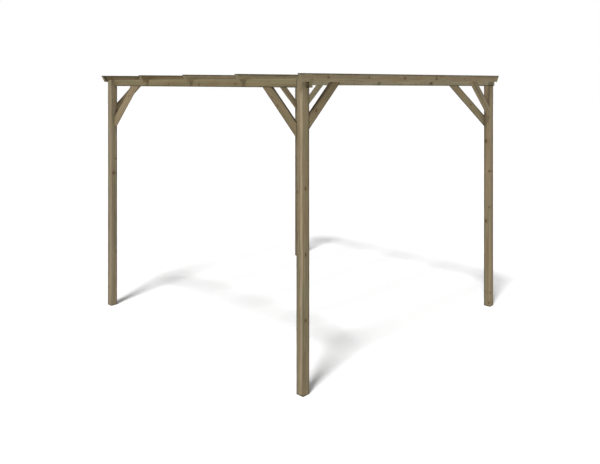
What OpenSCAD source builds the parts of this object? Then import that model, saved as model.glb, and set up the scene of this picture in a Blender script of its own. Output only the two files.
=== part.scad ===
// Open carport frame in planed timber.
// Four square posts carry two side beams in rebated heads, the rafters are notched over the beams,
// and a pair of mitred knee braces stiffens each corner.
// Lengths are millimetres, X runs along the rafters, Y along the beams, Z up from the ground.

/* [Rafters] */
// Length of each rafter along its top edge
rafter_length = 3000; // [2400:10:3600]
// Thickness of a rafter
rafter_thickness = 34; // [24:1:60]
// Depth of a rafter
rafter_depth = 66; // [56:1:110]
// How far a rafter runs on past the posts at each end
rafter_overhang = 59; // [40:1:160]
// Depth of the notch that sits a rafter over a beam
notch_depth = 22; // [8:1:32]
// Slope of the end cut of a rafter, from upright
end_cut_angle = 30; // [0:1:45]

/* [Posts] */
// Height of each post
post_height = 2400; // [1900:10:2800]
// Side of the square section of a post
post_side = 70; // [56:1:110]

/* [Beams] */
// Length of each beam
beam_length = 3000; // [2400:10:3600]
// Thickness of a beam, and so the depth of the rebate in a post head
beam_thickness = 34; // [24:1:48]
// Depth of a beam, and so the height of the rebate in a post head
beam_depth = 66; // [56:1:110]

/* [Knee braces] */
// Distance from the post to the far end of a brace along its head
brace_reach = 427; // [280:1:600]
// Slope of a brace from level
brace_angle = 45; // [38:1:55]
// Thickness of a brace
brace_thickness = 34; // [24:1:48]
// Width of a brace across its broad face
brace_width = 70; // [50:1:90]

/* [Finish] */
// Width of the eased corner along every timber
arris = 3; // [1:0.5:5]
// Clearance on each side of a beam in a rafter notch
notch_clearance = 0.5; // [0:0.1:2]

/* [Hidden] */

// Rafters from the front of the frame to the back
rafter_count = 5;

// Sides that a piece modelled at the front left corner is turned to
left = 0;
right = 1;
front = 0;
back = 1;

// Outer faces of the posts, measured from the middle of the frame
post_face_x = rafter_length / 2 - rafter_overhang;
post_face_y = beam_length / 2 - rafter_thickness;

// Inner faces of the posts, which the beams lie flush with and the braces stand on
inner_face_x = post_face_x - post_side;
inner_face_y = post_face_y - post_side;

// Levels from the ground
beam_top = post_height;
beam_underside = beam_top - beam_depth;
rafter_underside = beam_top - notch_depth;
rafter_top = rafter_underside + rafter_depth;

// Spacing of the rafters, the first and last standing just outside the posts
rafter_pitch = (2 * post_face_y + rafter_thickness) / (rafter_count - 1);

// How much shorter a rafter is along its lower edge at each end
end_cut = rafter_depth * tan(end_cut_angle);

// Height of a brace on its post
brace_rise = brace_reach * tan(brace_angle);

// Extra length that a cutting solid reaches past the timber that it cuts
cut_margin = 10;

post_colour = "#8f8268";
beam_colour = "#867a5f";
rafter_colour = "#80755c";
brace_colour = "#8a7c61";

// Section of a planed timber with eased corners, its lower left corner at the origin
module eased_section(across, deep) {
    polygon([
        [arris, 0], [across - arris, 0], [across, arris], [across, deep - arris],
        [across - arris, deep], [arris, deep], [0, deep - arris], [0, arris]
    ]);
}

// Timber lying along X from the origin, its thickness along Y and its depth along Z
module timber(long, thick, deep) {
    rotate([90, 0, 90])
        linear_extrude(height = long)
            eased_section(thick, deep);
}

// Turns a piece modelled at the front left corner to any of the four corners
module at_corner(side, end) {
    mirror([side, 0, 0])
        mirror([0, end, 0])
            children();
}

// Post with the head rebated on its inner side to take the beam
module post(side, end) {
    rebate = [beam_thickness + cut_margin, post_side + 2 * cut_margin, beam_depth + cut_margin];
    color(post_colour)
        at_corner(side, end)
            translate([-post_face_x, -post_face_y, 0])
                difference() {
                    linear_extrude(height = post_height)
                        eased_section(post_side, post_side);
                    translate([post_side - beam_thickness, -cut_margin, beam_underside])
                        cube(rebate);
                }
}

// Beam on edge in the rebates of the two posts on its side
module beam(side) {
    color(beam_colour)
        at_corner(side, front)
            translate([-inner_face_x, -beam_length / 2, beam_underside])
                rotate([0, 0, 90])
                    timber(beam_length, beam_thickness, beam_depth);
}

// Outline of a rafter in its own plane, with raked ends and a notch over each beam
module rafter_outline() {
    half = rafter_length / 2;
    seat_outer = inner_face_x + beam_thickness + notch_clearance;
    seat_inner = inner_face_x - notch_clearance;
    polygon([
        [-half, rafter_top], [-half + end_cut, rafter_underside],
        [-seat_outer, rafter_underside], [-seat_outer, beam_top],
        [-seat_inner, beam_top], [-seat_inner, rafter_underside],
        [seat_inner, rafter_underside], [seat_inner, beam_top],
        [seat_outer, beam_top], [seat_outer, rafter_underside],
        [half - end_cut, rafter_underside], [half, rafter_top]
    ]);
}

// Rafter counted from the front
module rafter(place) {
    y = -post_face_y - rafter_thickness + (place - 1) * rafter_pitch;
    color(rafter_colour)
        translate([0, y, 0])
            intersection() {
                translate([-rafter_length / 2, 0, rafter_underside])
                    timber(rafter_length, rafter_thickness, rafter_depth);
                translate([0, rafter_thickness + cut_margin, 0])
                    rotate([90, 0, 0])
                        linear_extrude(height = rafter_thickness + 2 * cut_margin)
                            rafter_outline();
            }
}

// Brace leaning along X from a post face at the origin to a level head, cut to both
module knee_brace(head) {
    long = brace_reach / cos(brace_angle);
    intersection() {
        translate([0, 0, head - brace_rise])
            rotate([0, -brace_angle, 0])
                translate([-cut_margin, 0, 0])
                    timber(long + 2 * cut_margin, brace_thickness, brace_width);
        translate([0, -cut_margin, head - brace_rise - cut_margin])
            cube([brace_reach + cut_margin, brace_thickness + 2 * cut_margin, brace_rise + cut_margin]);
    }
}

// Brace in the plane of a beam, from the post up to the underside of the beam
module beam_brace(side, end) {
    color(brace_colour)
        at_corner(side, end)
            translate([-inner_face_x, -inner_face_y, 0])
                rotate([0, 0, 90])
                    knee_brace(beam_underside);
}

// Brace flush with the outside of a post, lapped on the inner face of the end rafter
module rafter_brace(side, end) {
    color(brace_colour)
        at_corner(side, end)
            translate([-inner_face_x, -post_face_y, 0])
                knee_brace(rafter_top);
}

post(left, front);  // front_left_post
post(right, front);  // front_right_post
post(left, back);  // back_left_post
post(right, back);  // back_right_post
beam(left);  // left_beam
beam(right);  // right_beam
rafter(1);  // rafter_1
rafter(2);  // rafter_2
rafter(3);  // rafter_3
rafter(4);  // rafter_4
rafter(5);  // rafter_5
beam_brace(left, front);  // front_left_beam_brace
beam_brace(right, front);  // front_right_beam_brace
beam_brace(left, back);  // back_left_beam_brace
beam_brace(right, back);  // back_right_beam_brace
rafter_brace(left, front);  // front_left_rafter_brace
rafter_brace(right, front);  // front_right_rafter_brace
rafter_brace(left, back);  // back_left_rafter_brace
rafter_brace(right, back);  // back_right_rafter_brace
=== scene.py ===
"""Open carport frame in pressure-treated pine, with the joints, grain, knots and screws of its timbers."""
import math
import random
from collections import namedtuple

import bmesh
import bpy
from mathutils import Matrix, Vector, noise


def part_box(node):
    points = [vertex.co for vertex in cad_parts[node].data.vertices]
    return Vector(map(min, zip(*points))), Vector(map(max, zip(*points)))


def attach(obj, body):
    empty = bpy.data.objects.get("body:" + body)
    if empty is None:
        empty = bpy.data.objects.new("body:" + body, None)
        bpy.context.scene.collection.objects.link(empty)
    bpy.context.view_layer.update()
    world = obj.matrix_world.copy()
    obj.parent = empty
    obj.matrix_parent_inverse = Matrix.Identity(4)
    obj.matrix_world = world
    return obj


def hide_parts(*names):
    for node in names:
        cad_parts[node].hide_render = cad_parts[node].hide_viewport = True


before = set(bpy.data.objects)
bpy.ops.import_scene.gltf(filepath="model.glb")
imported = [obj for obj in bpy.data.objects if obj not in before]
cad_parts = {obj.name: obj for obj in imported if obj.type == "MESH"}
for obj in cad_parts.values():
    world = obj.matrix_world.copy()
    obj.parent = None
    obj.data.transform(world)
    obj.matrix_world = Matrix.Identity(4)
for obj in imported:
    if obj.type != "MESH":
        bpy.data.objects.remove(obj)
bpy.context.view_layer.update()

UP = Vector((0, 0, 1))
ALONG_X = Vector((1, 0, 0))
ALONG_Y = Vector((0, 1, 0))

# Joinery: rake of the rafters' ends, clearance in their notches and width of the braces, in metres
END_CUT_ANGLE = math.radians(30)
NOTCH_CLEARANCE = 0.0005
BRACE_WIDTH = 0.070

# Length of the blank that a brace is cut from, as a share of the brace
BLANK_LENGTH = 1.5

# Places nearer to each other than this are the same
HAIR = 0.00001

# Rounding of the long arrises, and the broken edges of the end cuts
ARRIS_RADIUS = 0.0016
ARRIS_STEPS = 4
SHORTEST_ARRIS = 0.045
CUT_EDGE = 0.0008

# An end cut looks along its timber by at least this cosine, and has more points than this round it
END_FACING = 0.6
END_POINTS = 12

# Edges that turn by more than these angles are sharp, and a cosine past this one means parallel
SHARP_ANGLE = math.radians(25)
CREASE_ANGLE = math.radians(32)
PARALLEL = 0.999

# Knocks along the arrises: spacing of the rings of edges that take them, waves to the metre, and depth
SEGMENT = 0.06
DENT_WAVES = 11
DENT_DEPTH = 0.0012

# Drying checks: width and depth at their widest, how far they stray and in how many waves to the metre,
# how bluntly they end, and the share of their opening at which they have closed to a point
CHECK_WIDTH = 0.002
CHECK_DEPTH = 0.006
CHECK_WANDER = 0.005
CHECK_WAVES = 7
CHECK_TAPER = 0.6
CHECK_TIP = 0.01

# Countersunk screws, with a six-lobed drive
SCREW_RADIUS = 0.0045
SCREW_SHANK = 0.002
SCREW_DEPTH = 0.004
SCREW_PROUD = 0.0004
SCREW_RIM = 0.0003
DRIVE_RADIUS = 0.0022
DRIVE_LOBE = 0.0004
DRIVE_DEPTH = 0.0018
LOBES = 6
SCREW_FROM_MITRE = 0.06
SCREW_FROM_EDGE = 0.016

# Growth of the pine: width of a year's ring, how much a step along the grain counts across a knot, and the
# depth of the grain
RING_WIDTH = 0.0042
KNOT_STRETCH = 0.75
GRAIN_DEPTH = 0.0005

# Noise starts this far off at most, so that no two timbers are alike
SEED_REACH = 40


# Timbers as solid blocks with their joints

def timber_block(low, high):
    """Square-edged timber that fills a box."""
    mesh = bmesh.new()
    bmesh.ops.create_cube(mesh, size=1.0)
    bmesh.ops.scale(mesh, vec=high - low, verts=mesh.verts)
    bmesh.ops.translate(mesh, vec=(low + high) / 2, verts=mesh.verts)
    mesh.normal_update()
    return mesh


def faces_toward(mesh, direction):
    """Faces that look roughly along a direction."""
    return [face for face in mesh.faces if face.normal.dot(direction) > 0.5]


def split_faces(mesh, faces, point, normal):
    """Cuts only these faces along a plane, in the same order each time."""
    edges = dict.fromkeys(edge for face in faces for edge in face.edges)
    verts = dict.fromkeys(vert for face in faces for vert in face.verts)
    bmesh.ops.bisect_plane(mesh, geom=[*verts, *edges, *faces], plane_co=point, plane_no=normal)


def extrude_each(mesh, faces, offset):
    """Pulls each face out by itself."""
    for face in bmesh.ops.extrude_discrete_faces(mesh, faces=faces)["faces"]:
        bmesh.ops.translate(mesh, vec=offset, verts=face.verts)
    mesh.normal_update()


def post_block(node, beam):
    """Post with the inner half of its head cut away to take a beam."""
    low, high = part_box(node)
    beam_low, beam_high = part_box(beam)
    rebate = beam_low.x if low.x < 0 else beam_high.x
    mesh = timber_block(low, Vector((high.x, high.y, beam_low.z)))
    split_faces(mesh, faces_toward(mesh, UP), ALONG_X * rebate, ALONG_X)
    standing = [
        face for face in faces_toward(mesh, UP)
        if abs(face.calc_center_median().x) > abs(rebate)
    ]
    extrude_each(mesh, standing, UP * (high.z - beam_low.z))
    return mesh


def beam_block(node):
    """Plain beam on edge."""
    return timber_block(*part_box(node))


def rafter_block(node, beam):
    """Rafter notched over both beams, with ends raked back underneath."""
    low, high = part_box(node)
    beam_low, beam_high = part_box(beam)
    seats = [abs(beam_high.x) - NOTCH_CLEARANCE, abs(beam_low.x) + NOTCH_CLEARANCE]
    mesh = timber_block(Vector((low.x, low.y, beam_high.z)), high)
    for seat in seats:
        for side in (-1, 1):
            split_faces(mesh, faces_toward(mesh, -UP), ALONG_X * side * seat, ALONG_X)
    full_depth = [
        face for face in faces_toward(mesh, -UP)
        if not min(seats) < abs(face.calc_center_median().x) < max(seats)
    ]
    extrude_each(mesh, full_depth, UP * (low.z - beam_high.z))
    for vert in mesh.verts:
        if abs(vert.co.x) > high.x - HAIR:
            set_back = (high.z - vert.co.z) * math.tan(END_CUT_ANGLE)
            vert.co.x -= math.copysign(set_back, vert.co.x)
    return mesh


def brace_axes(node):
    """Direction out from the post, direction up the brace and direction across its broad face."""
    low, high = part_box(node)
    middle = (low + high) / 2
    flat = ALONG_Y if "beam_brace" in node else ALONG_X
    out = flat * (1 if middle.dot(flat) < 0 else -1)
    along = (out * abs((high - low).dot(flat)) + UP * (high.z - low.z)).normalized()
    across = (UP - along * along.z).normalized()
    return out, along, across


def brace_block(node):
    """Knee brace cut to the face of its post and to its level head."""
    low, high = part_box(node)
    out, along, across = brace_axes(node)
    side = along.cross(across)
    thickness = abs((high - low).dot(side))
    length = (high - low).length * BLANK_LENGTH
    middle = (low + high) / 2 + across * BRACE_WIDTH / 2
    turn = Matrix((along, side, across)).transposed().to_4x4()
    mesh = bmesh.new()
    bmesh.ops.create_cube(mesh, size=1.0)
    bmesh.ops.scale(mesh, vec=(length, thickness, BRACE_WIDTH), verts=mesh.verts)
    bmesh.ops.transform(mesh, matrix=Matrix.Translation(middle) @ turn, verts=mesh.verts)
    post_face = low if out.x + out.y > 0 else high
    for point, normal in ((post_face, -out), (high, UP)):
        everything = [*mesh.verts, *mesh.edges, *mesh.faces]
        cut = bmesh.ops.bisect_plane(
            mesh, geom=everything, plane_co=point, plane_no=normal, clear_outer=True
        )
        rim = [piece for piece in cut["geom_cut"] if isinstance(piece, bmesh.types.BMEdge)]
        bmesh.ops.edgeloop_fill(mesh, edges=rim)
    bmesh.ops.recalc_face_normals(mesh, faces=mesh.faces)
    mesh.normal_update()
    return mesh


# Finishing of a timber

def sharp_edges(mesh):
    """Outer corners of a block."""
    return [
        edge for edge in mesh.edges
        if len(edge.link_faces) == 2 and edge.is_convex and edge.calc_face_angle() > SHARP_ANGLE
    ]


def runs_along(edge, along):
    """True for an edge parallel to the timber."""
    first, second = edge.verts
    return abs((second.co - first.co).normalized().dot(along)) > PARALLEL


def ease_edges(mesh, along):
    """Rounds the long arrises and just breaks the edges of the end cuts."""
    arrises = [
        edge for edge in sharp_edges(mesh)
        if runs_along(edge, along) and edge.calc_length() > SHORTEST_ARRIS
    ]
    bmesh.ops.bevel(
        mesh, geom=arrises, offset=ARRIS_RADIUS, offset_type="OFFSET", affect="EDGES",
        segments=ARRIS_STEPS, profile=0.5, material=-1, clamp_overlap=True,
    )
    mesh.normal_update()
    ends = [
        face for face in mesh.faces
        if abs(face.normal.dot(along)) > END_FACING and len(face.verts) > END_POINTS
    ]
    rims = [edge for edge in sharp_edges(mesh) if any(face in ends for face in edge.link_faces)]
    bmesh.ops.bevel(
        mesh, geom=rims, offset=CUT_EDGE, offset_type="OFFSET", affect="EDGES",
        segments=1, profile=0.5, material=-1, clamp_overlap=True,
    )
    mesh.normal_update()


def cross_cut(mesh, timber):
    """Rings of edges across the timber, close enough for its dents and checks."""
    half = timber.half_length
    count = max(2, round(2 * half / SEGMENT))
    for step in range(1, count):
        point = timber.middle + timber.along * (2 * half * step / count - half)
        everything = [*mesh.verts, *mesh.edges, *mesh.faces]
        bmesh.ops.bisect_plane(mesh, geom=everything, plane_co=point, plane_no=timber.along)


def dent_arrises(mesh, timber):
    """Small knocks along the rounded arrises, each arris with its own."""
    rounded = ARRIS_RADIUS - HAIR
    for vert in mesh.verts:
        place = timber.local(vert.co)
        near_u = abs(place.y) > timber.half_u - rounded
        near_v = abs(place.z) > timber.half_v - rounded
        if not (near_u and near_v) or abs(place.x) > timber.half_length - SEGMENT / 2:
            continue
        spot = Vector((place.x * DENT_WAVES, math.copysign(3, place.y), math.copysign(5, place.z)))
        depth = max(0.0, noise.noise(spot + timber.seed)) ** 1.5 * DENT_DEPTH
        inward = timber.axis_u * math.copysign(depth, place.y)
        inward += timber.axis_v * math.copysign(depth, place.z)
        vert.co -= inward


def open_check(mesh, timber, face_axis, offset, start, end):
    """Long drying check, widest in the middle, in the face that looks along face_axis."""
    across = timber.along.cross(face_axis)

    def cracked():
        return [
            face for face in mesh.faces
            if face.normal.dot(face_axis) > PARALLEL
            and start < timber.local(face.calc_center_median()).x < end
        ]

    for line in (offset - CHECK_WIDTH / 2, offset, offset + CHECK_WIDTH / 2):
        split_faces(mesh, cracked(), timber.middle + across * line, across)
    spread = dict.fromkeys(vert for face in cracked() for vert in face.verts)
    reach = [timber.local(vert.co).x for vert in spread]
    first, last = min(reach), max(reach)
    tips = []
    for vert in spread:
        sideways = (vert.co - timber.middle).dot(across) - offset
        if abs(sideways) > CHECK_WIDTH / 2 + HAIR:
            continue
        station = timber.local(vert.co).x
        opening = max(0.0, math.sin(math.pi * (station - first) / (last - first))) ** CHECK_TAPER
        wander = noise.noise(Vector((station * CHECK_WAVES, offset, 0)) + timber.seed) * CHECK_WANDER
        if abs(sideways) < HAIR:
            vert.co -= face_axis * CHECK_DEPTH * opening
        else:
            vert.co -= across * sideways * (1 - opening)
        vert.co += across * wander
        if opening < CHECK_TIP:
            tips.append(vert)
    bmesh.ops.remove_doubles(mesh, verts=tips, dist=CHECK_WIDTH / 2)
    mesh.normal_update()


def finished_mesh(mesh, name):
    """Mesh data of a finished shape."""
    data = bpy.data.meshes.new(name)
    mesh.to_mesh(data)
    mesh.free()
    return data


def set_up(name, data):
    """New object in the scene."""
    made = bpy.data.objects.new(name, data)
    bpy.context.scene.collection.objects.link(made)
    return made


# Tint of a timber, where its pith lies across it in metres, the arris across it that is sun-bleached and
# painted lighter as painted light, in shares of its half sizes, how much that strip is lightened, and the
# colour of its ends
Look = namedtuple("Look", "tone pith bleached bleach end_grain")


class Timber:
    """One timber: where it lies, how it is cut, and what its grain looks like, with u and v across it."""

    def __init__(self, node, slot, along, axis_u, look, knots, checks=()):
        low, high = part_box(node)
        self.node = node
        self.slot = slot
        self.along = along
        self.axis_u = axis_u
        self.axis_v = along.cross(axis_u)
        self.middle = (low + high) / 2
        span = high - low
        self.half_length = abs(span.dot(along)) / 2
        self.half_u = abs(span.dot(axis_u)) / 2
        self.half_v = abs(span.dot(self.axis_v)) / 2
        if "brace" in node:
            across = brace_axes(node)[2]
            self.middle += across * BRACE_WIDTH / 2
            self.half_length = span.length / 2
            self.half_v = BRACE_WIDTH / 2
        self.look = look
        self.weather_and_shade = WEATHER_AND_SHADE.get(node) or WEATHER_AND_SHADE[slot]
        self.knots = knots
        self.checks = checks
        draw = random.Random(node)
        self.seed = Vector([draw.uniform(-SEED_REACH, SEED_REACH) for _ in range(3)])

    def local(self, point):
        """Distances along and across the timber from its middle."""
        offset = point - self.middle
        return Vector((offset.dot(self.along), offset.dot(self.axis_u), offset.dot(self.axis_v)))

    def block(self):
        """Block with its joints cut."""
        side = "left" if self.middle.x < 0 else "right"
        if "post" in self.node:
            return post_block(self.node, side + "_beam")
        if "brace" in self.node:
            return brace_block(self.node)
        if "rafter" in self.node:
            return rafter_block(self.node, "left_beam")
        return beam_block(self.node)

    def build(self):
        """Finished piece in place of its CAD node."""
        mesh = self.block()
        ease_edges(mesh, self.along)
        cross_cut(mesh, self)
        for face_axis, offset, start, end in self.checks:
            open_check(mesh, self, face_axis, offset, start, end)
        dent_arrises(mesh, self)
        data = finished_mesh(mesh, self.node + "_timber")
        piece = set_up(self.node + "_timber", data)
        data.shade_smooth()
        data.set_sharp_from_angle(angle=CREASE_ANGLE)
        data.materials.append(timber_material(self))
        piece.modifiers.new("even_faces", "WEIGHTED_NORMAL").keep_sharp = True
        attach(piece, "root")
        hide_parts(self.node)


# Short calls for node trees

def paint(red, green, blue):
    """Colour as it looks on screen, for a node socket."""
    def level(value):
        share = value / 255
        return share / 12.92 if share <= 0.04045 else ((share + 0.055) / 1.055) ** 2.4
    return (level(red), level(green), level(blue), 1.0)


class Sketch:
    """Adds linked nodes to one tree."""

    def __init__(self, tree):
        self.tree = tree

    def node(self, kind, inputs, **settings):
        """Node with its settings, and with its inputs linked or set."""
        made = self.tree.nodes.new(kind)
        for name, value in settings.items():
            setattr(made, name, value)
        for key, value in inputs.items():
            if isinstance(value, bpy.types.NodeSocket):
                self.tree.links.new(value, made.inputs[key])
            else:
                made.inputs[key].default_value = value
        return made

    def math(self, operation, *values):
        """Result of a sum on numbers."""
        return self.node("ShaderNodeMath", dict(enumerate(values)), operation=operation).outputs[0]

    def vector(self, operation, *values):
        """Result of a sum on vectors."""
        made = self.node("ShaderNodeVectorMath", dict(enumerate(values)), operation=operation)
        return made.outputs["Value" if operation in ("LENGTH", "DOT_PRODUCT") else "Vector"]

    def scale(self, value, start, end, low=0.0, high=1.0, course="LINEAR"):
        """Straight slope from low at the start to high at the end."""
        inputs = {"Value": value, "From Min": start, "From Max": end, "To Min": low, "To Max": high}
        return self.node("ShaderNodeMapRange", inputs, interpolation_type=course).outputs[0]

    def ease(self, value, start, end, low=0.0, high=1.0):
        """Slope that starts and ends gently."""
        return self.scale(value, start, end, low, high, "SMOOTHSTEP")

    def noise(self, place, spread, seed, detail=2.0, roughness=0.5):
        """Noise with its own waves to the metre along each axis."""
        moved = self.vector("ADD", self.vector("MULTIPLY", place, spread), seed)
        inputs = {"Vector": moved, "Scale": 1.0, "Detail": detail, "Roughness": roughness}
        return self.node("ShaderNodeTexNoise", inputs)

    def mix(self, share, first, second, blend="MIX"):
        """Colour between two colours."""
        inputs = {0: share, 6: first, 7: second}
        return self.node("ShaderNodeMix", inputs, data_type="RGBA", blend_type=blend).outputs[2]

    def group(self, effect, inputs):
        """Outputs of a shared effect."""
        return self.node("ShaderNodeGroup", inputs, node_tree=effect).outputs


def blank_material(name):
    """Material without nodes, and a sketch to fill it."""
    material = bpy.data.materials.new(name)
    material.use_nodes = True
    material.node_tree.nodes.clear()
    return material, Sketch(material.node_tree)


FLOAT = "NodeSocketFloat"
VECTOR = "NodeSocketVector"
COLOUR = "NodeSocketColor"


def new_effect(name, inputs, outputs):
    """Empty node group with its sockets, as a sketch, its input sockets and its output node."""
    tree = bpy.data.node_groups.new(name, "ShaderNodeTree")
    for label, kind in inputs.items():
        tree.interface.new_socket(label, in_out="INPUT", socket_type=kind)
    for label, kind in outputs.items():
        tree.interface.new_socket(label, in_out="OUTPUT", socket_type=kind)
    sketch = Sketch(tree)
    return sketch, sketch.node("NodeGroupInput", {}).outputs, sketch.node("NodeGroupOutput", {})


def put_out(sketch, end, values):
    """Links the results of a group to its outputs."""
    for label, value in values.items():
        sketch.tree.links.new(value, end.inputs[label])
    return sketch.tree


# Effects that the timbers share

def grain_warp_effect():
    """Bends straight grain the way a tree grows."""
    sketch, given, end = new_effect("Grain warp", {"Place": VECTOR, "Seed": VECTOR}, {"Place": VECTOR})

    def bend(spread, detail, reach):
        swing = sketch.noise(given["Place"], spread, given["Seed"], detail).outputs["Color"]
        centred = sketch.vector("SUBTRACT", swing, (0.5, 0.5, 0.5))
        return sketch.vector("MULTIPLY", centred, (0, reach, reach))

    slow = bend((0.9, 7, 7), 1.0, 0.028)
    quick = bend((9, 34, 34), 2.0, 0.0035)
    bent = sketch.vector("ADD", given["Place"], sketch.vector("ADD", slow, quick))
    return put_out(sketch, end, {"Place": bent})


KNOT_MASKS = ("Core", "Rim", "Halo", "Push")
RING_MASKS = ("Late wood", "Heart", "Ray")
STREAK_MASKS = ("Streak", "Patch", "Tint", "Fibre", "Hair check", "Saw")


def knot_effect():
    """One branch through the timber, added to the knots before it."""
    masks = dict.fromkeys(KNOT_MASKS, FLOAT)
    inputs = {"Place": VECTOR, "Centre": VECTOR, "Reach": VECTOR, "Radius": FLOAT, **masks}
    sketch, given, end = new_effect("Knot", inputs, masks)
    offset = sketch.vector("SUBTRACT", given["Place"], given["Centre"])
    distance = sketch.vector("LENGTH", sketch.vector("MULTIPLY", offset, given["Reach"]))
    ragged = sketch.noise(given["Place"], (70, 120, 120), given["Centre"]).outputs["Fac"]
    radius = sketch.math("MULTIPLY", given["Radius"], sketch.scale(ragged, 0.3, 0.7, 0.8, 1.2))
    share = sketch.math("DIVIDE", distance, radius)
    years = sketch.math("SINE", sketch.math("MULTIPLY", share, 17.0))
    banded = sketch.scale(years, -1.0, 1.0, 0.86, 1.0)
    core = sketch.math("MULTIPLY", sketch.ease(share, 1.05, 0.75), banded)
    rim = sketch.math("MULTIPLY", sketch.ease(share, 0.65, 1.0), sketch.ease(share, 1.35, 1.0))
    rim = sketch.math("MAXIMUM", rim, sketch.ease(share, 0.3, 0.02, 0.0, 0.7))
    halo = sketch.ease(share, 3.4, 0.9)
    push = sketch.math("MULTIPLY", sketch.math("MULTIPLY", halo, halo), given["Radius"])
    return put_out(sketch, end, {
        "Core": sketch.math("MAXIMUM", core, given["Core"]),
        "Rim": sketch.math("MAXIMUM", rim, given["Rim"]),
        "Halo": sketch.math("MAXIMUM", halo, given["Halo"]),
        "Push": sketch.math("ADD", push, given["Push"]),
    })


def growth_ring_effect():
    """Early and late wood round the pith, the darker heart, and the cracks that run out from the pith."""
    inputs = {"Place": VECTOR, "Pith": VECTOR, "Push": FLOAT, "Ring width": FLOAT}
    sketch, given, end = new_effect("Growth rings", inputs, dict.fromkeys(RING_MASKS, FLOAT))
    flat = sketch.vector("MULTIPLY", sketch.vector("SUBTRACT", given["Place"], given["Pith"]), (0, 1, 1))
    radius = sketch.math("ADD", sketch.vector("LENGTH", flat), given["Push"])
    turn = sketch.math("FRACT", sketch.math("DIVIDE", radius, given["Ring width"]))
    late = sketch.math("MULTIPLY", sketch.ease(turn, 0.25, 0.88), sketch.ease(turn, 1.0, 0.93))
    split = sketch.node("ShaderNodeSeparateXYZ", {0: flat}).outputs
    angle = sketch.math("ARCTAN2", split["Z"], split["Y"])
    outward = sketch.math("MULTIPLY", radius, 6.0)
    spoke = sketch.node("ShaderNodeCombineXYZ", {0: angle, 1: outward}).outputs[0]
    swing = sketch.noise(spoke, (5, 1, 1), given["Pith"], detail=1.0).outputs["Fac"]
    ray = sketch.ease(sketch.math("ABSOLUTE", sketch.math("SUBTRACT", swing, 0.5)), 0.02, 0.006)
    return put_out(sketch, end, {"Late wood": late, "Heart": sketch.ease(radius, 0.052, 0.018), "Ray": ray})


def streak_effect():
    """Tone that runs with the grain: streaks, patches, tint, fine fibres and hair checks, and saw marks."""
    masks = dict.fromkeys(STREAK_MASKS, FLOAT)
    sketch, given, end = new_effect("Grain streaks", {"Place": VECTOR, "Seed": VECTOR}, masks)

    def layer(spread, shift, detail, roughness=0.5):
        seed = sketch.vector("ADD", given["Seed"], (shift, shift, shift))
        return sketch.noise(given["Place"], spread, seed, detail, roughness).outputs["Fac"]

    line = sketch.math("ABSOLUTE", sketch.math("SUBTRACT", layer((0.9, 70, 70), 31.0, 1.0), 0.5))
    where = sketch.ease(layer((1.7, 12, 12), 47.0, 1.0), 0.54, 0.66)
    return put_out(sketch, end, {
        "Streak": layer((0.35, 62, 62), 3.0, 2.0),
        "Patch": layer((1.7, 12, 12), 11.0, 5.0, 0.65),
        "Tint": layer((2.6, 16, 16), 17.0, 2.0),
        "Fibre": layer((8, 780, 780), 23.0, 2.0),
        "Saw": layer((8, 25, 620), 61.0, 1.0),
        "Hair check": sketch.math("MULTIPLY", sketch.ease(line, 0.012, 0.003), where),
    })


def arris_effect():
    """Nearness to a long arris, where shade is painted, to the sun-bleached strip that also carries painted
    light, to the upper edge, and to the ends, where shade is painted.
    """
    inputs = {
        "Place": VECTOR, "Half sizes": VECTOR, "Bleached": VECTOR, "Seed": VECTOR,
        "Edge reach": FLOAT, "Drip reach": FLOAT,
        "Foot reach": FLOAT, "Head reach": FLOAT, "Unshaded end reach": FLOAT,
    }
    outputs = {"Edge": FLOAT, "Bleach": FLOAT, "Unshaded": FLOAT, "Drip": FLOAT, "End shade": FLOAT}
    sketch, given, end = new_effect("Arris", inputs, outputs)
    rough = sketch.noise(given["Place"], (11, 60, 60), given["Seed"], 5.0, 0.65).outputs["Fac"]
    uneven = sketch.scale(rough, 0.3, 0.7, 0.4, 1.6)

    def near(distance, reach):
        limit = sketch.math("MULTIPLY", given[reach], uneven)
        return sketch.ease(sketch.math("DIVIDE", distance, limit), 1.0, 0.3)

    inside = sketch.vector("SUBTRACT", given["Half sizes"], sketch.vector("ABSOLUTE", given["Place"]))
    split = sketch.node("ShaderNodeSeparateXYZ", {0: inside}).outputs
    # Painted shade along the long arrises
    edge = near(sketch.math("MAXIMUM", split["Y"], split["Z"]), "Edge reach")
    offset = sketch.vector("SUBTRACT", given["Place"], given["Bleached"])
    away = sketch.vector("LENGTH", sketch.vector("MULTIPLY", offset, (0, 1, 1)))
    away = sketch.math("DIVIDE", away, sketch.scale(rough, 0.3, 0.7, 0.75, 1.25))
    worn = sketch.scale(rough, 0.25, 0.75, 0.55, 1.0)
    # Sun-bleached strip that is also painted light on the arris facing the key light; it fades out near the
    # ends as painted shade under the heads
    bleach = sketch.math("MULTIPLY", sketch.ease(away, 0.017, 0.004), worn)
    bleach = sketch.math("MULTIPLY", bleach, sketch.ease(split["X"], 0.04, 0.17))
    after_foot = sketch.vector("ADD", given["Half sizes"], given["Place"])
    from_foot = sketch.node("ShaderNodeSeparateXYZ", {0: after_foot}).outputs["X"]
    below_head = sketch.vector("SUBTRACT", given["Half sizes"], given["Place"])
    from_head = sketch.node("ShaderNodeSeparateXYZ", {0: below_head}).outputs
    # Painted shade in from the foot and from the head
    end_shade = sketch.math("MAXIMUM", near(from_foot, "Foot reach"), near(from_head["X"], "Head reach"))
    # Where the painted shade of the upper sides is left off: along the lit arris, as painted light, and near
    # the ends
    unshaded = sketch.math("MAXIMUM", sketch.ease(away, 0.02, 0.008), near(split["X"], "Unshaded end reach"))
    return put_out(sketch, end, {
        "Edge": sketch.math("MULTIPLY", edge, sketch.ease(away, 0.024, 0.034)),
        "Bleach": bleach,
        "Unshaded": unshaded,
        # Darker band down from the upper edge
        "Drip": near(from_head["Z"], "Drip reach"),
        "End shade": end_shade,
    })


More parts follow.
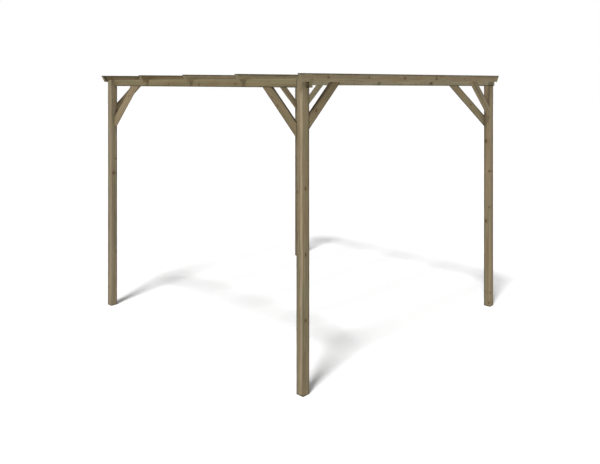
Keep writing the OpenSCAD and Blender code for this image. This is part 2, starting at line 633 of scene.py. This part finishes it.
EARLY_WOOD = paint(147, 134, 109)
LATE_WOOD = paint(115, 101, 77)
HEART_WOOD = paint(122, 107, 81)
GREEN_SALT = paint(125, 120, 93)
RESIN_BROWN = paint(125, 103, 75)
# Colour of the sun-bleached strip, which is also painted light on the arris facing the key light
BLEACHED_AND_LIT = paint(181, 165, 138)
KNOT_HALO = paint(114, 91, 62)
KNOT_CORE = paint(88, 64, 40)
KNOT_RIM = paint(60, 44, 29)
CRACK = paint(58, 48, 35)
PALE_END = paint(146, 135, 108)
GREEN_END = paint(125, 118, 90)
SOAKED_END = paint(108, 98, 72)
# Grime colours that also paint shade: at the post feet, near the beam ends, and on the braces' upper sides
DUST_AND_SHADE = paint(66, 60, 45)
DAMP_AND_SHADE = paint(76, 65, 46)
BRACE_SHADE = paint(34, 30, 21)

# Weathering and painted shade of each kind of timber, and of two timbers that differ, in metres: how far in
# the painted shade along the arrises reaches, how far a darker band reaches down from the upper edge, how
# far painted shade reaches in from the foot or first end and from the head or last end, how far in from the
# ends the painted shade of the upper sides is left off, and then the colour of the grime and painted shade
WeatherAndShade = namedtuple("WeatherAndShade", "edge drip foot head shelter grime")
# Reach that is too short to show
NONE = 0.0001
WEATHER_AND_SHADE = {
    "post_timber": WeatherAndShade(0.0105, NONE, 0.011, NONE, NONE, DUST_AND_SHADE),
    "beam_timber": WeatherAndShade(0.0085, NONE, 0.038, 0.038, NONE, DAMP_AND_SHADE),
    "right_beam": WeatherAndShade(0.0085, NONE, 0.012, 0.038, NONE, DAMP_AND_SHADE),
    "rafter_timber": WeatherAndShade(NONE, 0.013, NONE, NONE, NONE, DUST_AND_SHADE),
    "rafter_5": WeatherAndShade(NONE, 0.013, 0.075, NONE, NONE, DUST_AND_SHADE),
    "brace_timber": WeatherAndShade(0.007, 0.004, NONE, NONE, 0.16, BRACE_SHADE),
}


def treated_pine_effect():
    """Colour, roughness and relief of the treated wood from its grain masks, with painted light and painted
    shade from the other masks.
    """
    masks = ("Core", "Rim", "Halo", "Edge", "Bleach", "End", "Grime", "Underside light")
    inputs = {
        **dict.fromkeys((*RING_MASKS, *STREAK_MASKS, *masks), FLOAT), "Bleached tone": FLOAT,
        "Tone": COLOUR, "End grain": COLOUR, "Grime colour": COLOUR,
    }
    outputs = {"Colour": COLOUR, "Roughness": FLOAT, "Height": FLOAT}
    sketch, given, end = new_effect("Treated pine", inputs, outputs)

    def part(socket, share):
        return sketch.math("MULTIPLY", given[socket], share)

    wood = sketch.mix(part("Late wood", 0.6), EARLY_WOOD, LATE_WOOD)
    wood = sketch.mix(part("Heart", 0.5), wood, HEART_WOOD)
    wood = sketch.mix(sketch.ease(given["Tint"], 0.46, 0.72, 0.0, 0.5), wood, GREEN_SALT)
    wood = sketch.mix(sketch.ease(given["Tint"], 0.52, 0.28, 0.0, 0.4), wood, RESIN_BROWN)
    light = sketch.scale(given["Streak"], 0.2, 0.8, 0.7, 1.3)
    light = sketch.math("MULTIPLY", light, sketch.scale(given["Patch"], 0.2, 0.8, 0.78, 1.22))
    light = sketch.math("MULTIPLY", light, sketch.scale(given["Fibre"], 0.2, 0.8, 0.87, 1.13))
    # Faces that look down are painted up to 15% lighter: painted light from the floor
    light = sketch.math("MULTIPLY", light, sketch.scale(given["Underside light"], 0.0, 1.0, 1.0, 1.15))
    lit = sketch.node("ShaderNodeCombineColor", {0: light, 1: light, 2: light}).outputs[0]
    wood = sketch.mix(1.0, wood, lit, "MULTIPLY")
    wood = sketch.mix(1.0, wood, given["Tone"], "MULTIPLY")
    # Sun-bleached strip, which is also painted light
    wood = sketch.mix(sketch.math("MULTIPLY", given["Bleach"], given["Bleached tone"]), wood, BLEACHED_AND_LIT)
    wood = sketch.mix(part("Halo", 0.35), wood, KNOT_HALO)
    wood = sketch.mix(part("Core", 0.8), wood, KNOT_CORE)
    wood = sketch.mix(part("Rim", 0.55), wood, KNOT_RIM)
    wood = sketch.mix(part("End", 0.72), wood, given["End grain"])
    crack = sketch.math("MAXIMUM", given["Hair check"], sketch.math("MULTIPLY", given["Ray"], given["End"]))
    wood = sketch.mix(sketch.math("MULTIPLY", crack, 0.6), wood, CRACK)
    # Grime colour, which is painted shade on the braces' upper sides and near the ends
    wood = sketch.mix(part("Grime", 0.88), wood, given["Grime colour"])
    # Painted shade along the arrises
    shade = sketch.math("SUBTRACT", 1.0, part("Edge", 0.8))
    shaded = sketch.node("ShaderNodeCombineColor", {0: shade, 1: shade, 2: shade}).outputs[0]
    wood = sketch.mix(1.0, wood, shaded, "MULTIPLY")
    rough = sketch.math("ADD", sketch.scale(given["Fibre"], 0.2, 0.8, 0.72, 0.9), part("Late wood", -0.08))
    relief = sketch.math("ADD", part("Late wood", 0.35), part("Fibre", 0.45))
    relief = sketch.math("ADD", relief, part("Core", 0.3))
    relief = sketch.math("ADD", relief, sketch.math("MULTIPLY", part("Saw", 1.6), given["End"]))
    relief = sketch.math("SUBTRACT", relief, part("Rim", 0.5))
    relief = sketch.math("SUBTRACT", relief, sketch.math("MULTIPLY", crack, 1.2))
    return put_out(sketch, end, {"Colour": wood, "Roughness": rough, "Height": relief})


GRAIN_WARP = grain_warp_effect()
KNOT = knot_effect()
GROWTH_RINGS = growth_ring_effect()
GRAIN_STREAKS = streak_effect()
ARRIS = arris_effect()
TREATED_PINE = treated_pine_effect()


def timber_material(timber):
    """Treated pine with the grain, pith and knots of one timber."""
    material, sketch = blank_material(timber.node + "_pine")
    turn = Matrix((timber.along, timber.axis_u, timber.axis_v))
    seed = tuple(timber.seed)

    spot = sketch.node("ShaderNodeTexCoord", {}).outputs["Object"]
    inputs = {"Vector": spot, "Location": -(turn @ timber.middle), "Rotation": turn.to_euler()}
    place = sketch.node("ShaderNodeMapping", inputs).outputs[0]
    bent = sketch.group(GRAIN_WARP, {"Place": place, "Seed": seed})["Place"]

    masks = dict.fromkeys(KNOT_MASKS, 0.0)
    for along, across, through, radius in timber.knots:
        runs_u = through == "u"
        centre = (along, 0, across) if runs_u else (along, across, 0)
        reach = (KNOT_STRETCH, 0, 1) if runs_u else (KNOT_STRETCH, 1, 0)
        branch = {"Place": bent, "Centre": centre, "Reach": reach, "Radius": radius}
        made = sketch.group(KNOT, {**branch, **masks})
        masks = {name: made[name] for name in masks}

    look = timber.look
    rings = sketch.group(GROWTH_RINGS, {
        "Place": bent, "Pith": (0, *look.pith), "Push": masks["Push"], "Ring width": RING_WIDTH,
    })
    streaks = sketch.group(GRAIN_STREAKS, {"Place": bent, "Seed": seed})
    half = (timber.half_length, timber.half_u, timber.half_v)
    bleached = (0, look.bleached[0] * timber.half_u, look.bleached[1] * timber.half_v)
    weather_and_shade = timber.weather_and_shade
    edge = sketch.group(ARRIS, {
        "Place": place, "Half sizes": half, "Bleached": bleached, "Seed": seed,
        "Edge reach": weather_and_shade.edge, "Drip reach": weather_and_shade.drip,
        "Foot reach": weather_and_shade.foot, "Head reach": weather_and_shade.head, "Unshaded end reach": weather_and_shade.shelter,
    })
    normal = sketch.node("ShaderNodeNewGeometry", {}).outputs["Normal"]
    facing = sketch.math("ABSOLUTE", sketch.vector("DOT_PRODUCT", normal, tuple(timber.along)))
    cut = sketch.ease(facing, 0.5, 0.68)
    # Upper sides and a band along the upper edge take the grime colour, which is painted shade on the
    # braces; it is left off where unshaded
    rise = sketch.vector("DOT_PRODUCT", normal, tuple(UP))
    upper_grime_and_shade = sketch.math("MAXIMUM", sketch.ease(rise, 0.45, 0.65), edge["Drip"])
    upper_grime_and_shade = sketch.math("MULTIPLY", upper_grime_and_shade, sketch.math("SUBTRACT", 1.0, edge["Unshaded"]))
    # Painted shade near the ends, kept off the end grain
    end_shade = sketch.math("MULTIPLY", edge["End shade"], sketch.math("SUBTRACT", 1.0, cut))
    grime = sketch.math("MAXIMUM", upper_grime_and_shade, end_shade)

    pine = sketch.group(TREATED_PINE, {
        **{name: rings[name] for name in RING_MASKS},
        **{name: streaks[name] for name in STREAK_MASKS},
        **{name: masks[name] for name in ("Core", "Rim", "Halo")},
        "Edge": edge["Edge"], "Bleach": edge["Bleach"], "End": cut,
        "Grime": grime, "Underside light": sketch.ease(rise, -0.3, -0.6),
        "Tone": (*look.tone, 1), "Bleached tone": look.bleach, "End grain": look.end_grain,
        "Grime colour": weather_and_shade.grime,
    })
    relief = {"Height": pine["Height"], "Strength": 0.5, "Distance": GRAIN_DEPTH}
    bump = sketch.node("ShaderNodeBump", relief)
    surface = sketch.node("ShaderNodeBsdfPrincipled", {
        "Base Color": pine["Colour"], "Roughness": pine["Roughness"], "Normal": bump.outputs[0],
        "Specular IOR Level": 0.2,
    })
    sketch.node("ShaderNodeOutputMaterial", {"Surface": surface.outputs[0]})
    return material


# The timbers of this frame

BRACES = [node for node in sorted(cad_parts) if "brace" in node]

# Knots are distance along from the middle, distance across, the way the branch runs, and its radius
POST_KNOTS = {
    "front_left_post": [
        (0.370, -0.007, "v", 0.008), (-0.132, -0.007, "v", 0.008), (-0.629, -0.007, "v", 0.008),
        (0.341, 0.030, "u", 0.007),
    ],
    "front_right_post": [
        (0.234, -0.023, "u", 0.0075), (-0.149, -0.024, "u", 0.006), (-0.299, 0.011, "u", 0.011),
        (0.551, 0.015, "u", 0.013), (-1.159, -0.023, "u", 0.007), (-1.052, -0.023, "v", 0.007),
    ],
    "back_left_post": [
        (-1.013, 0.014, "u", 0.007), (0.211, -0.010, "v", 0.011), (0.204, 0.022, "v", 0.007),
        (0.361, 0.026, "v", 0.008), (-0.635, 0.026, "v", 0.007), (0.865, 0.025, "v", 0.007),
    ],
    "back_right_post": [
        (0.42, 0.010, "u", 0.009), (-0.35, -0.014, "u", 0.008),
        (-0.74, 0.006, "v", 0.010), (0.66, 0.02, "v", 0.007),
    ],
}
BEAM_KNOTS = {
    "left_beam": [
        (0.375, -0.017, "u", 0.008), (-0.111, -0.017, "u", 0.008), (-0.621, -0.012, "u", 0.008),
    ],
    "right_beam": [
        (-0.732, -0.007, "u", 0.005), (-0.22, 0.011, "u", 0.005),
        (0.41, -0.010, "u", 0.006), (0.96, 0.004, "u", 0.005),
    ],
}
FIRST_RAFTER_KNOTS = [
    (-1.193, -0.001, "u", 0.008), (-0.69, 0.004, "u", 0.006), (-0.189, -0.002, "u", 0.009),
    (0.312, -0.002, "u", 0.009), (0.808, -0.002, "u", 0.006),
]
BRACE_KNOTS = {
    "front_left_rafter_brace": [(-0.149, 0.005, "u", 0.009)],
    "front_left_beam_brace": [(0.165, -0.009, "u", 0.005), (0.073, -0.009, "u", 0.006)],
    "back_left_beam_brace": [(0.131, -0.011, "u", 0.006)],
    "back_left_rafter_brace": [(-0.047, 0.0, "u", 0.008)],
}
# Where the knots that no view fixes may lie along a rafter and a brace, how far across, and their radius
RAFTER_KNOT_SPAN = (-0.8, 1.4)
BRACE_KNOT_SPAN = (-0.2, 0.2)
STRAY_KNOT_ASIDE = 0.018
STRAY_KNOT_RADIUS = (0.004, 0.008)
STRAY_RAFTER_KNOTS = 4
STRAY_BRACE_KNOTS = 1

# Tint, pith, place of the sun-bleached strip that is also painted light, how much it is lightened, and end
# grain of each post
POST_LOOKS = {
    "front_left_post": Look((0.975, 0.965, 0.92), (0.034, -0.012), (-1, -0.457), 0.4, SOAKED_END),
    "front_right_post": Look((0.98, 0.96, 0.92), (-0.030, 0.010), (-0.571, -1), 0.2, SOAKED_END),
    "back_left_post": Look((0.97, 0.97, 0.96), (0.034, 0.012), (-1, -1), 0.35, SOAKED_END),
    "back_right_post": Look((0.96, 0.97, 0.97), (0.012, 0.026), (-1, -1), 0.0, SOAKED_END),
}
# Drying checks of each post: side that it opens to, distance across, start and end along the post
POST_CHECKS = {
    "front_left_post": [(-ALONG_X, -0.001, 0.25, 0.7), (ALONG_Y, -0.008, -0.95, -0.5)],
    "front_right_post": [(-ALONG_Y, -0.006, 0.1, 0.42), (ALONG_X, 0.010, -0.8, -0.35)],
    "back_left_post": [(ALONG_X, 0.004, 0.2, 0.6), (ALONG_Y, -0.010, -0.7, -0.35)],
    "back_right_post": [(-ALONG_X, 0.006, -0.6, -0.2), (ALONG_Y, 0.0, 0.1, 0.5)],
}
# Tints of the other timbers
BEAM_TONES = {"left_beam": (0.86, 0.86, 0.74), "right_beam": (0.92, 0.98, 0.98)}
RAFTER_TONES = [
    (1.01, 0.99, 0.95), (1.05, 1.01, 0.94), (1.0, 0.95, 0.89), (0.76, 0.68, 0.56), (0.83, 0.77, 0.64),
]
BRACE_TONES = {
    "front_left_beam_brace": (0.84, 0.79, 0.70), "front_left_rafter_brace": (0.94, 0.9, 0.81),
    "front_right_beam_brace": (0.87, 0.88, 0.82), "front_right_rafter_brace": (1.0, 0.98, 0.95),
    "back_left_beam_brace": (1.04, 1.0, 0.95), "back_left_rafter_brace": (0.95, 0.92, 0.86),
    "back_right_beam_brace": (0.79, 0.85, 0.82), "back_right_rafter_brace": (0.8, 0.79, 0.73),
}
# Pith of the beams, how far aside the pith of the other timbers may lie, and how near and how far off it is
BEAM_PITH = (0.02, -0.055)
PITH_ASIDE = 0.03
RAFTER_PITH = (0.03, 0.07)
BRACE_PITH = (0.02, 0.06)
# How much one arris of the beams and rafters is sun-bleached and painted lighter, as painted light
BEAM_BLEACH_AND_LIGHT = 0.07
RAFTER_BLEACH_AND_LIGHT = 0.16


def stray_knots(draw, span, count):
    """Knots that no view of the frame fixes."""
    return [
        (draw.uniform(*span), draw.uniform(-STRAY_KNOT_ASIDE, STRAY_KNOT_ASIDE), "u",
         draw.uniform(*STRAY_KNOT_RADIUS))
        for _ in range(count)
    ]


def stray_pith(draw, reach):
    """Pith on either side of the middle of a timber."""
    return draw.uniform(-PITH_ASIDE, PITH_ASIDE), draw.choice((-1, 1)) * draw.uniform(*reach)


def lay_out_posts():
    """The four posts, with their drying checks."""
    return [
        Timber(node, "post_timber", UP, ALONG_X, POST_LOOKS[node], knots, POST_CHECKS[node])
        for node, knots in POST_KNOTS.items()
    ]


def lay_out_beams():
    """The two side beams, with an upper arris sun-bleached and painted lighter as painted light."""
    timbers = []
    for node, knots in BEAM_KNOTS.items():
        look = Look(BEAM_TONES[node], BEAM_PITH, (1, 1), BEAM_BLEACH_AND_LIGHT, GREEN_END)
        timbers.append(Timber(node, "beam_timber", ALONG_Y, -ALONG_X, look, knots))
    return timbers


def lay_out_rafters():
    """The rafters from front to back, with the lower front arris sun-bleached and painted lighter as painted
    light.
    """
    timbers = []
    for number, tone in enumerate(RAFTER_TONES, start=1):
        node = "rafter_%d" % number
        draw = random.Random(node)
        knots = FIRST_RAFTER_KNOTS
        if number > 1:
            knots = stray_knots(draw, RAFTER_KNOT_SPAN, STRAY_RAFTER_KNOTS)
        look = Look(tone, stray_pith(draw, RAFTER_PITH), (-1, -1), RAFTER_BLEACH_AND_LIGHT, PALE_END)
        timbers.append(Timber(node, "rafter_timber", ALONG_X, ALONG_Y, look, knots))
    return timbers


def lay_out_braces():
    """The knee braces, with one lit arris kept clear of the painted shade of their upper sides and arrises.
    """
    timbers = []
    for node in BRACES:
        draw = random.Random(node)
        out, along, across = brace_axes(node)
        side = across.cross(along)
        knots = BRACE_KNOTS.get(node) or stray_knots(draw, BRACE_KNOT_SPAN, STRAY_BRACE_KNOTS)
        pith = stray_pith(draw, BRACE_PITH)
        unshaded_arris = (math.copysign(1, -side.x - side.y), math.copysign(1, out.x + out.y))
        look = Look(BRACE_TONES[node], pith, unshaded_arris, 0.0, SOAKED_END)
        timbers.append(Timber(node, "brace_timber", along, side, look, knots))
    return timbers


# Screws

def screw_head():
    """Countersunk head with a lobed drive, its rim in the level plane through the origin."""
    mesh = bmesh.new()
    bmesh.ops.create_cone(
        mesh, cap_ends=True, segments=4 * LOBES,
        radius1=SCREW_SHANK, radius2=SCREW_RADIUS, depth=SCREW_DEPTH,
    )
    bmesh.ops.translate(mesh, vec=UP * -SCREW_DEPTH / 2, verts=mesh.verts)
    mesh.normal_update()
    rim = [edge for edge in mesh.edges if all(vert.co.z > -HAIR for vert in edge.verts)]
    bmesh.ops.bevel(
        mesh, geom=rim, offset=SCREW_RIM, offset_type="OFFSET", affect="EDGES",
        segments=2, profile=0.5, material=-1, clamp_overlap=True,
    )
    mesh.normal_update()
    crown = max(mesh.faces, key=lambda face: face.calc_center_median().z + face.calc_area())
    bmesh.ops.inset_region(mesh, faces=[crown], thickness=SCREW_RADIUS - SCREW_RIM - DRIVE_RADIUS)
    for vert in crown.verts:
        turn = math.atan2(vert.co.y, vert.co.x)
        radius = DRIVE_RADIUS + DRIVE_LOBE * math.cos(LOBES * turn)
        vert.co.xy = radius * math.cos(turn), radius * math.sin(turn)
    outside = set(mesh.faces) - {crown}
    extrude_each(mesh, [crown], UP * -DRIVE_DEPTH)
    for face in mesh.faces:
        face.material_index = 0 if face in outside else 1
    return finished_mesh(mesh, "screw_head")


def screw_places():
    """Point and outward direction of every screw head."""
    places = []
    for beam in BEAM_KNOTS:
        low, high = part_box(beam)
        middle = (low + high) / 2
        for number in range(1, len(RAFTER_TONES) + 1):
            rafter_low, rafter_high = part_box("rafter_%d" % number)
            places.append((Vector((middle.x, (rafter_low.y + rafter_high.y) / 2, rafter_high.z)), UP))
        inward = ALONG_X * (1 if middle.x < 0 else -1)
        for end in (low.y, high.y):
            post = "front" if end < 0 else "back"
            post_low, post_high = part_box("%s_%s_post" % (post, beam.split("_")[0]))
            for side in (-SCREW_FROM_EDGE, SCREW_FROM_EDGE):
                face = middle + inward * (high.x - low.x) / 2
                face.y = (post_low.y + post_high.y) / 2 + side
                face.z += side
                places.append((face, inward))
    for node in BRACES:
        places += brace_screw_places(node)
    return places


def brace_screw_places(node):
    """Screws of one brace: under its foot, and under its head or through its lap on the rafter."""
    low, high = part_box(node)
    along, across = brace_axes(node)[1:]
    middle = (low + high) / 2
    half = (high.z - low.z) / along.z / 2
    foot = middle - along * half
    head = middle + along * half
    places = [(foot + along * SCREW_FROM_MITRE, -across)]
    if "beam_brace" in node:
        return places + [(head - along * SCREW_FROM_MITRE, -across)]
    inward = ALONG_Y * (1 if middle.y < 0 else -1)
    lap = head - along * (SCREW_FROM_MITRE + SCREW_FROM_EDGE) + across * BRACE_WIDTH / 2
    lap += inward * (high.y - low.y) / 2
    return places + [(lap + across * side, inward) for side in (-SCREW_FROM_EDGE, SCREW_FROM_EDGE)]


def coated_steel(name, coat, bare):
    """Coating of a deck screw, rubbed through in places."""
    material, sketch = blank_material(name)
    spot = sketch.node("ShaderNodeTexCoord", {}).outputs["Object"]
    wear = sketch.noise(spot, (900, 900, 900), (5, 2, 8), detail=3.0).outputs["Fac"]
    rubbed = sketch.ease(wear, 0.52, 0.62)
    colour = sketch.mix(rubbed, coat, bare)
    bump = sketch.node("ShaderNodeBump", {"Height": wear, "Strength": 0.3, "Distance": 0.0002})
    surface = sketch.node("ShaderNodeBsdfPrincipled", {
        "Base Color": colour, "Metallic": sketch.scale(rubbed, 0.0, 1.0, 0.35, 0.9),
        "Roughness": sketch.scale(wear, 0.3, 0.7, 0.55, 0.38), "Normal": bump.outputs[0],
    })
    sketch.node("ShaderNodeOutputMaterial", {"Surface": surface.outputs[0]})
    return material


def drive_screws():
    """All the screw heads as one piece."""
    head = screw_head()
    mesh = bmesh.new()
    for point, outward in screw_places():
        before = len(mesh.verts)
        mesh.from_mesh(head)
        mesh.verts.ensure_lookup_table()
        turn = outward.to_track_quat("Z", "Y").to_matrix().to_4x4()
        seat = Matrix.Translation(point + outward * SCREW_PROUD) @ turn
        bmesh.ops.transform(mesh, matrix=seat, verts=mesh.verts[before:])
    bpy.data.meshes.remove(head)
    data = finished_mesh(mesh, "screw_heads")
    piece = set_up("screw_heads", data)
    data.materials.append(coated_steel("screw_coating", paint(104, 88, 60), paint(150, 142, 126)))
    data.materials.append(coated_steel("screw_drive", paint(46, 40, 32), paint(84, 78, 68)))
    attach(piece, "root")


# Floor, light and camera

# Level of the surround and of the key light, where the key light comes from, and how wide it looks
SKY_LEVEL = 0.3
SUN_LEVEL = 2.89
SUN_FROM = Vector((-1065, -444, 2400))
SUN_SPREAD = math.radians(10)

# Side of the floor, and how pale it is where it is seen and where it lights the frame
FLOOR_SIDE = 120.0
FLOOR_SHOWN = 0.975
FLOOR_BOUNCE = 0.85


def seen_directly(sketch):
    """One for what the camera sees, straight on or in a reflection."""
    path = sketch.node("ShaderNodeLightPath", {}).outputs
    mirrored = sketch.math("MAXIMUM", path["Is Glossy Ray"], path["Is Transmission Ray"])
    return sketch.math("MAXIMUM", path["Is Camera Ray"], mirrored)


def lay_floor():
    """Pale floor that keeps the shadow of the frame."""
    mesh = bmesh.new()
    bmesh.ops.create_grid(mesh, x_segments=1, y_segments=1, size=FLOOR_SIDE / 2)
    data = finished_mesh(mesh, "floor")
    floor = set_up("floor", data)
    material, sketch = blank_material("floor_paint")
    shown = sketch.node("ShaderNodeBsdfDiffuse", {"Color": (FLOOR_SHOWN,) * 3 + (1,)})
    bounce = sketch.node("ShaderNodeBsdfDiffuse", {"Color": (FLOOR_BOUNCE,) * 3 + (1,)})
    inputs = {0: seen_directly(sketch), 1: bounce.outputs[0], 2: shown.outputs[0]}
    both = sketch.node("ShaderNodeMixShader", inputs)
    sketch.node("ShaderNodeOutputMaterial", {"Surface": both.outputs[0]})
    data.materials.append(material)


def light_studio():
    """Soft high light from the front left, and an even white surround."""
    world = bpy.data.worlds.new("studio")
    world.use_nodes = True
    world.node_tree.nodes.clear()
    sketch = Sketch(world.node_tree)
    level = sketch.scale(seen_directly(sketch), 0.0, 1.0, SKY_LEVEL, 1.0)
    sky = sketch.node("ShaderNodeBackground", {"Color": (1, 1, 1, 1), "Strength": level})
    sketch.node("ShaderNodeOutputWorld", {"Surface": sky.outputs[0]})
    bpy.context.scene.world = world
    lamp = bpy.data.lights.new("key_light", "SUN")
    lamp.energy = SUN_LEVEL
    lamp.angle = SUN_SPREAD
    holder = set_up("key_light", lamp)
    holder.rotation_euler = SUN_FROM.to_track_quat("Z", "Y").to_euler()


# Place of the camera in metres, its heading from the X axis, its lens and sensor in millimetres, the slide
# of its frame, and how far it sees
CAMERA_PLACE = Vector((-4.966, -4.950, 2.377))
CAMERA_YAW = math.radians(44.92)
CAMERA_LENS = 39.43
CAMERA_SENSOR = 36.0
CAMERA_SHIFT = -0.25
CAMERA_LIMIT = 500.0


def set_camera():
    """Level camera at the height of the rafters, its frame slid down to take in the feet."""
    camera = bpy.data.cameras.new("camera")
    camera.sensor_width = CAMERA_SENSOR
    camera.lens = CAMERA_LENS
    camera.shift_y = CAMERA_SHIFT
    camera.clip_end = CAMERA_LIMIT
    holder = set_up("camera", camera)
    holder.location = CAMERA_PLACE
    holder.rotation_euler = (math.radians(90), 0, CAMERA_YAW - math.radians(90))
    bpy.context.scene.camera = holder


bpy.context.scene.view_settings.view_transform = "Standard"
set_camera()
light_studio()
lay_floor()
for timber in (*lay_out_posts(), *lay_out_beams(), *lay_out_rafters(), *lay_out_braces()):
    timber.build()
drive_screws()
